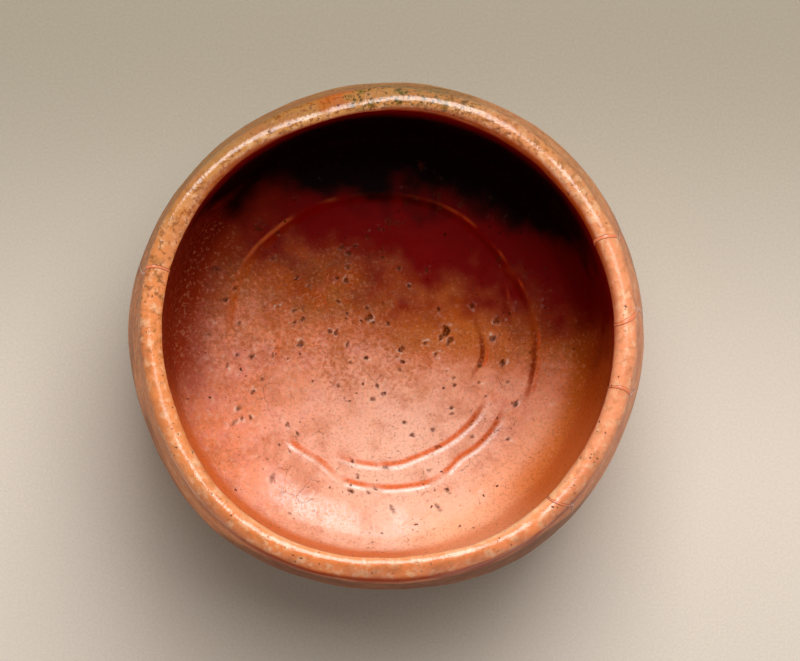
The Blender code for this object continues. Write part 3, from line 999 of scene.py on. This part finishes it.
# Colour, strength, and the places that it is held to
GROUND = "#E58A5E"
WASHES = (
    ("#EC9A7C", 1.00, "salmon"),
    ("#D27A48", 0.50, "brown"),
    ("#D07464", 0.45, "rosy"),
    # painted sheen over the front of the floor
    ("#F5CAAF", 0.92, "painted_sheen"),
    ("#F8D2B8", 0.45, "milky"),
    ("#C07048", 0.40, "brown"),
    # painted highlight on the glossy, grainy patch
    ("#FDEBDD", 0.90, "sugary_gloss_and_highlight", "grains"),
    ("#E2762F", 1.00, "wall"),
    # painted light at the front right, where the floor meets the wall
    ("#FFB688", 0.65, "painted_light_right_front"),
    # painted shade on the step faces, and a painted highlight on the front brinks
    ("#DE6422", 0.90, "step"),
    ("#FDE6D6", 0.75, "painted_highlight_front_brink"),
    ("#C06C34", 1.00, "outside"),
    ("#EBA27A", 1.00, "outside", "right"),
    # painted shade on the front of the outer wall, which faces away from the window
    ("#84401C", 1.00, "outside", "front"),
    ("#8C5C2A", 1.00, "outside", "back"),
    ("#A8693A", 0.50, "outside", "tan"),
    ("#E0A070", 0.22, "outside", "pale_mottle"),
    ("#7A4020", 0.30, "outside", "brown_mottle"),
    ("#74421F", 0.38, "outside", "smoky"),
    # brown speckle of the glaze, and painted shade where it darkens towards the far side
    ("#C05814", 0.95, "browned_and_shaded"),
    ("#8E6A36", 0.50, "browned_and_shaded", "olive_film"),
    ("#C4705A", 0.25, "browned_and_shaded", "rosy"),
    ("#84380E", 0.45, "browned_and_shaded", "smoky"),
    ("#521A0A", 0.28, "browned_and_shaded", "grains"),
    ("#AA5410", 0.62, "amber", "sand"),
    # painted light on the right of the floor
    ("#D87428", 0.60, "painted_light_right_floor"),
    # painted shade on the step faces
    ("#BC5A1E", 0.60, "step", "browned_and_shaded"),
    ("#DC7418", 0.80, "flank"),
    # painted shade in dark red
    ("#7C0403", 1.00, "painted_red_shade"),
    ("#8B2406", 0.90, "shaded"),
    # painted shade at the foot of the far wall
    ("#5A0804", 0.78, "deep_shade"),
    # painted light: a brighter red inside the painted shade
    ("#8E0A08", 0.40, "painted_glow_in_shade"),
    # painted shade on the right step faces, and painted highlights on the brinks
    ("#6A1004", 0.72, "painted_shade_side_step"),
    ("#D2541C", 0.85, "painted_highlight_side_brink"),
    ("#C4602E", 0.75, "painted_highlight_left_brink"),
    ("#F2B084", 0.30, "chalk", "floor"),
    ("#7A3412", 0.26, "grit", "floor"),
    ("#5A2A18", 0.50, "crackle", "crazed"),
    # painted shade in near black
    ("#0C0101", 1.00, "painted_black_shade"),
    # painted shade: the dark red of the wall under the lip
    ("#8E0A14", 0.90, "shade_under_lip"),
    ("#E58A50", 1.00, "lip"),
    ("#EE966A", 1.00, "lip", "right"),
    ("#BC8244", 0.85, "lip", "back"),
    ("#F48444", 0.55, "lip", "front"),
    ("#F7CBA0", 0.50, "lip", "pale_mottle"),
    ("#B0713C", 0.85, "lip", "mottle", "aged"),
    ("#8E5228", 0.75, "lip", "brown_mottle", "aged"),
    ("#9C6A30", 0.80, "lip", "outside", "back"),
    # painted shade on the lip's inner edge on the far side
    ("#A8440C", 1.00, "inner_edge", "far_side"),
    # painted highlight on the lip's inner edge at the front
    ("#FACB98", 0.60, "inner_edge", "front"),
    ("#6E3A18", 0.70, "lip", "tarnish", "freckles"),
    ("#A4522C", 0.40, "lip", "outside", "tan"),
    ("#A84A08", 0.55, "lip", "red"),
    ("#C85A18", 0.60, "lip", "red", "tan"),
    ("#6A5A1C", 0.80, "lip", "olive", "mottle"),
    ("#3E340C", 0.80, "lip", "olive", "freckles"),
    # painted shade on the front of the outer wall under the lip
    ("#A43404", 0.95, "shade_under_edge", "front"),
    ("#4A2C18", 0.70, "lip", "speck"),
    ("#34100A", 0.90, "hole", "specked"),
    ("#4A1608", 0.60, "speck", "specked"),
    # the rim of each pit painted light, partly as a crust and partly as a painted glint
    ("#F8DCC4", 0.80, "rims_and_glints", "milky"),
    ("#2E0E06", 1.00, "pitted", "grains"),
    ("#5C2606", 0.72, "pitted"),
)


# %% [markdown]
# Every mask, cloud and cell pattern ends as a factor from 0 to 1 under its own name, so a wash
# can be held to any of them. Pinholes and crackle come from cells, and cells have straight
# sides, so their coordinates are first shaken by a finer noise.

# %% Factors for the washes
STRAY_SIZE = 0.9
STRAY_SHIFT = 1.1
CLOUD_ROUGHNESS = 0.62


def held_places(tree, where):
    """A factor for each mask, cloud and cell pattern, by its name."""
    held = {}
    for name in masks:
        held[name] = add_node(tree, "ShaderNodeAttribute", attribute_name=name).outputs["Fac"]
    for name, size, detail, start, full in CLOUDS:
        scale = 1 / (size * MILLIMETRE)
        cloud = add_node(
            tree,
            "ShaderNodeTexNoise",
            {"Vector": where, "Scale": scale, "Detail": detail, "Roughness": CLOUD_ROUGHNESS},
        )
        held[name] = add_node(
            tree,
            "ShaderNodeMapRange",
            {VALUE: cloud, FROM_LOW: start, FROM_HIGH: full},
            interpolation_type="SMOOTHSTEP",
        )
    scale = 1 / (STRAY_SIZE * MILLIMETRE)
    stray = add_node(tree, "ShaderNodeTexNoise", {"Vector": where, "Scale": scale, "Detail": 3.0})
    astray = add_node(
        tree,
        "ShaderNodeVectorMath",
        {0: stray.outputs["Color"], 1: (STRAY_SHIFT * MILLIMETRE,) * 3, 2: where},
        operation="MULTIPLY_ADD",
    )
    for name, size, pattern, full, gone in CELLS:
        scale = 1 / (size * MILLIMETRE)
        cell = add_node(tree, "ShaderNodeTexVoronoi", {"Vector": astray, "Scale": scale}, feature=pattern)
        held[name] = add_node(
            tree,
            "ShaderNodeMapRange",
            {VALUE: cell, FROM_LOW: gone, FROM_HIGH: full},
            interpolation_type="SMOOTHSTEP",
        )
    return held


# %% [markdown]
# The washes are mixed in their order. A wash held to two places gets their product. The skin of
# the glaze also ripples and has a fine peel, and its pinholes sink below it: that is too fine
# for the mesh, so it is bump.

# %% Colour and skin of the glaze
# Size and height of the ripple and of the peel, and the depth of holes and specks, in millimetres
RIPPLE = (3.4, 0.07)
PEEL = (0.7, 0.07)
HOLE_DEPTH = 0.16
SPECK_DEPTH = 0.06


def washed_colour(tree, held):
    colour = paint(GROUND)
    for wash, strength, *names in WASHES:
        factor = strength
        for name in names:
            factor = add_node(tree, "ShaderNodeMath", {0: held[name], 1: factor}, operation="MULTIPLY")
        colour = add_node(
            tree,
            "ShaderNodeMix",
            {FACTOR: factor, COLOUR_A: colour, COLOUR_B: paint(wash)},
            data_type="RGBA",
        )
    return colour


def glaze_skin(tree, where, held):
    parts = []
    for size, height in (RIPPLE, PEEL):
        scale = 1 / (size * MILLIMETRE)
        lumps = add_node(tree, "ShaderNodeTexNoise", {"Vector": where, "Scale": scale, "Detail": 2.0})
        parts.append((lumps, height))
    parts += [(held["hole"], -HOLE_DEPTH), (held["speck"], -SPECK_DEPTH)]
    relief = 0.0
    for part, height in parts:
        relief = add_node(tree, "ShaderNodeMath", {0: part, 1: height, 2: relief}, operation="MULTIPLY_ADD")
    return add_node(tree, "ShaderNodeBump", {"Height": relief, "Distance": MILLIMETRE, "Strength": 1.0})


# %% The glaze
def glaze_material():
    material, tree = new_material("lead_glaze_over_red_slip")
    where = add_node(tree, "ShaderNodeTexCoord").outputs["Object"]
    held = held_places(tree, where)
    skin = glaze_skin(tree, where, held)
    coat = add_node(tree, "ShaderNodeMapRange", {VALUE: held["matt"], TO_LOW: 1.0, TO_HIGH: 0.0})
    shader = add_node(
        tree,
        "ShaderNodeBsdfPrincipled",
        {
            "Base Color": washed_colour(tree, held),
            "Roughness": 0.50,
            "IOR": 1.45,
            "Specular IOR Level": 0.03,
            "Coat Weight": coat,
            "Coat Roughness": 0.18,
            "Coat IOR": 1.6,
            "Normal": skin,
            "Coat Normal": skin,
        },
    )
    add_node(tree, "ShaderNodeOutputMaterial", {"Surface": shader})
    return material


red_glaze = glaze_material()
glaze.data.materials.append(red_glaze)
well_glaze.data.materials.append(red_glaze)
print("The glaze has", len(WASHES), "washes and", len(red_glaze.node_tree.nodes), "nodes")

# %% [markdown]
# ## Bare clay
# The clay is earthenware fired at a low heat: it stays open and dull, so it has no coat and a
# high roughness. Fine grit gives it a tooth, and its colour drifts where the flame played.

# %% The clay
CLAY_GRIT = 0.8
CLAY_PATCH = 9.0
CLAY_TOOTH = 0.12


def clay_material():
    material, tree = new_material("low_fired_red_clay")
    where = add_node(tree, "ShaderNodeTexCoord").outputs["Object"]
    scale = 1 / (CLAY_GRIT * MILLIMETRE)
    grit = add_node(tree, "ShaderNodeTexNoise", {"Vector": where, "Scale": scale, "Detail": 4.0})
    scale = 1 / (CLAY_PATCH * MILLIMETRE)
    patch = add_node(tree, "ShaderNodeTexNoise", {"Vector": where, "Scale": scale, "Detail": 3.0})
    colour = add_node(
        tree,
        "ShaderNodeMix",
        {FACTOR: patch, COLOUR_A: paint("#B06A45"), COLOUR_B: paint("#8E5236")},
        data_type="RGBA",
    )
    bump = add_node(tree, "ShaderNodeBump", {"Height": grit, "Distance": CLAY_TOOTH * MILLIMETRE})
    shader = add_node(
        tree,
        "ShaderNodeBsdfPrincipled",
        {"Base Color": colour, "Roughness": 0.85, "Normal": bump},
    )
    add_node(tree, "ShaderNodeOutputMaterial", {"Surface": shader})
    return material


bare_clay = clay_material()
clay.data.materials.append(bare_clay)
print("The clay has", len(bare_clay.node_tree.nodes), "nodes")

# %% [markdown]
# ## Vermilion lacquer
# The cracks were filled with tree lacquer, coloured with vermilion and polished by hand, so it
# is smoother than clay and duller than glaze. Dirt settles in the joint and draws a thin dark
# line along both sides, a tenth or two of a millimetre wide, that wavers a little.

# %% The lacquer
DUST_SIZE = 1.5
WAVER_SIZE = 0.9
WAVER = 0.24
MARGIN = (0.34, 0.22)


def lacquer_material():
    material, tree = new_material("vermilion_lacquer")
    where = add_node(tree, "ShaderNodeTexCoord")
    here = where.outputs["Object"]
    scale = 1 / (DUST_SIZE * MILLIMETRE)
    dust = add_node(tree, "ShaderNodeTexNoise", {"Vector": here, "Scale": scale})
    colour = add_node(
        tree,
        "ShaderNodeMix",
        {FACTOR: dust, COLOUR_A: paint("#E88A5E"), COLOUR_B: paint("#DE7040")},
        data_type="RGBA",
    )
    from_edge = add_node(tree, "ShaderNodeSeparateXYZ", {0: where.outputs["UV"]}).outputs["Y"]
    scale = 1 / (WAVER_SIZE * MILLIMETRE)
    waver = add_node(tree, "ShaderNodeTexNoise", {"Vector": here, "Scale": scale})
    from_edge = add_node(
        tree, "ShaderNodeMath", {0: waver, 1: WAVER, 2: from_edge}, operation="MULTIPLY_ADD"
    )
    margin = add_node(
        tree, "ShaderNodeMapRange", {VALUE: from_edge, FROM_LOW: MARGIN[0], FROM_HIGH: MARGIN[1]}
    )
    colour = add_node(
        tree,
        "ShaderNodeMix",
        {FACTOR: margin, COLOUR_A: colour, COLOUR_B: paint("#4A1C10")},
        data_type="RGBA",
    )
    shader = add_node(
        tree,
        "ShaderNodeBsdfPrincipled",
        {"Base Color": colour, "Roughness": 0.38, "Coat Weight": 0.3, "Coat Roughness": 0.2},
    )
    add_node(tree, "ShaderNodeOutputMaterial", {"Surface": shader})
    return material


lacquer = lacquer_material()
for piece in mends:
    piece.data.materials.append(lacquer)
print("The lacquer has", len(lacquer.node_tree.nodes), "nodes")

# %% [markdown]
# ## The studio
# The bowl stands on seamless paper, which is matt and is paler in front than behind. The colour
# is on the paper and no lamp is brighter for it, so the bowl looks right under other light too.
# The fibres of real paper are finer than a pixel, so its grain is drawn 0.6 mm wide.

# %% The paper
FLOOR_SIZE = 3.0
PAPER_FAR = 0.085
PAPER_NEAR = -0.045
PAPER_GRAIN = 0.6

deselect()
bpy.ops.mesh.primitive_plane_add(size=FLOOR_SIZE, location=(0.0, 0.0, 0.0))
ground = bpy.context.object
ground.name = "paper_ground"
paper, tree = new_material("seamless_paper")
where = add_node(tree, "ShaderNodeTexCoord").outputs["Object"]
axes = add_node(tree, "ShaderNodeSeparateXYZ", {0: where})
fade = add_node(
    tree,
    "ShaderNodeMapRange",
    {VALUE: axes.outputs["Y"], FROM_LOW: PAPER_FAR, FROM_HIGH: PAPER_NEAR},
    interpolation_type="SMOOTHSTEP",
)
colour = add_node(
    tree,
    "ShaderNodeMix",
    {FACTOR: fade, COLOUR_A: paint("#A39A88"), COLOUR_B: paint("#DDD1C3")},
    data_type="RGBA",
)
scale = 1 / (PAPER_GRAIN * MILLIMETRE)
grain = add_node(tree, "ShaderNodeTexNoise", {"Vector": where, "Scale": scale, "Detail": 2.0})
grain = add_node(
    tree,
    "ShaderNodeMapRange",
    {VALUE: grain, FROM_LOW: 0.2, FROM_HIGH: 0.8, TO_LOW: 0.93, TO_HIGH: 1.07},
)
colour = add_node(tree, "ShaderNodeVectorMath", {0: colour, 1: grain}, operation="MULTIPLY")
shader = add_node(
    tree,
    "ShaderNodeBsdfPrincipled",
    {"Base Color": colour, "Roughness": 0.9, "Specular IOR Level": 0.2},
)
add_node(tree, "ShaderNodeOutputMaterial", {"Surface": shader})
ground.data.materials.append(paper)
print("The paper is", FLOOR_SIZE, "m wide")

# %% [markdown]
# A broad window lights the bowl from the far side, high up. It draws the white line on the lip
# and leaves the far wall inside in shade. A little light also comes from all round, more from
# the sides than from overhead, where the camera hangs.

# %% Light
KEY_DIRECTION = math.radians(77)
KEY_ELEVATION = math.radians(65)
KEY_DISTANCE = 0.95
KEY_SIZE = (0.54, 0.74)
KEY_WATTS = 10.0
SIDE_LIGHT = 0.55
OVERHEAD_LIGHT = 0.02
SIDE_LEVEL = 0.40
OVERHEAD_LEVEL = 0.85

world = bpy.data.worlds.new("studio_room")
bpy.context.scene.world = world
world.use_nodes = True
tree = world.node_tree
sky = add_node(tree, "ShaderNodeTexCoord").outputs["Generated"]
upwards = add_node(tree, "ShaderNodeSeparateXYZ", {0: sky}).outputs["Z"]
levels = {FROM_LOW: SIDE_LEVEL, FROM_HIGH: OVERHEAD_LEVEL, TO_LOW: SIDE_LIGHT, TO_HIGH: OVERHEAD_LIGHT}
strength = add_node(tree, "ShaderNodeMapRange", {VALUE: upwards, **levels})
background = add_node(tree, "ShaderNodeBackground", {"Color": paint("#FFFAF2"), "Strength": strength})
tree.links.new(background.outputs[0], tree.nodes["World Output"].inputs["Surface"])

lamp = bpy.data.lights.new("window", "AREA")
lamp.shape = "RECTANGLE"
lamp.size, lamp.size_y = KEY_SIZE
lamp.energy = KEY_WATTS
window = bpy.data.objects.new("window", lamp)
bpy.context.scene.collection.objects.link(window)
to_window = Vector(
    (
        math.cos(KEY_DIRECTION) * math.cos(KEY_ELEVATION),
        math.sin(KEY_DIRECTION) * math.cos(KEY_ELEVATION),
        math.sin(KEY_ELEVATION),
    )
)
window.location = to_window * KEY_DISTANCE
window.rotation_euler = to_window.to_track_quat("Z", "Y").to_euler()
print("The window is", KEY_SIZE, "m large and", KEY_DISTANCE, "m away")

# %% [markdown]
# The photograph looks almost straight down. A shift of the lens puts the mouth where the
# photograph has it, without turning the camera, and the focal length follows from how many
# pixels a metre takes up at the lip.

# %% Camera
CAMERA_LEAN = (-0.027, -0.040)
CAMERA_DISTANCE = 0.90
FRAME_WIDTH, FRAME_HEIGHT = 800, 661
PIXELS_PER_METRE = 4500.0
SENSOR = 36.0
MOUTH_PIXEL = (388.2, 334.0)

mouth = Vector((LIP_LEAN[0], LIP_LEAN[1], BOWL_HEIGHT))
leaning = Vector((*CAMERA_LEAN, 1.0)).normalized()
lens = bpy.data.cameras.new("camera")
lens.sensor_width = SENSOR
lens.lens = PIXELS_PER_METRE * CAMERA_DISTANCE * SENSOR / FRAME_WIDTH
lens.shift_x = (FRAME_WIDTH / 2 - MOUTH_PIXEL[0]) / FRAME_WIDTH
lens.shift_y = (MOUTH_PIXEL[1] - FRAME_HEIGHT / 2) / FRAME_WIDTH
camera = bpy.data.objects.new("camera", lens)
bpy.context.scene.collection.objects.link(camera)
camera.location = mouth + leaning * CAMERA_DISTANCE
to_right = Vector((0.0, 1.0, 0.0)).cross(leaning).normalized()
upright = Matrix((to_right, leaning.cross(to_right), leaning)).transposed()
camera.rotation_euler = upright.to_euler()
bpy.context.scene.camera = camera
bpy.context.scene.view_settings.view_transform = "Standard"
print("The lens is", round(lens.lens), "mm long")
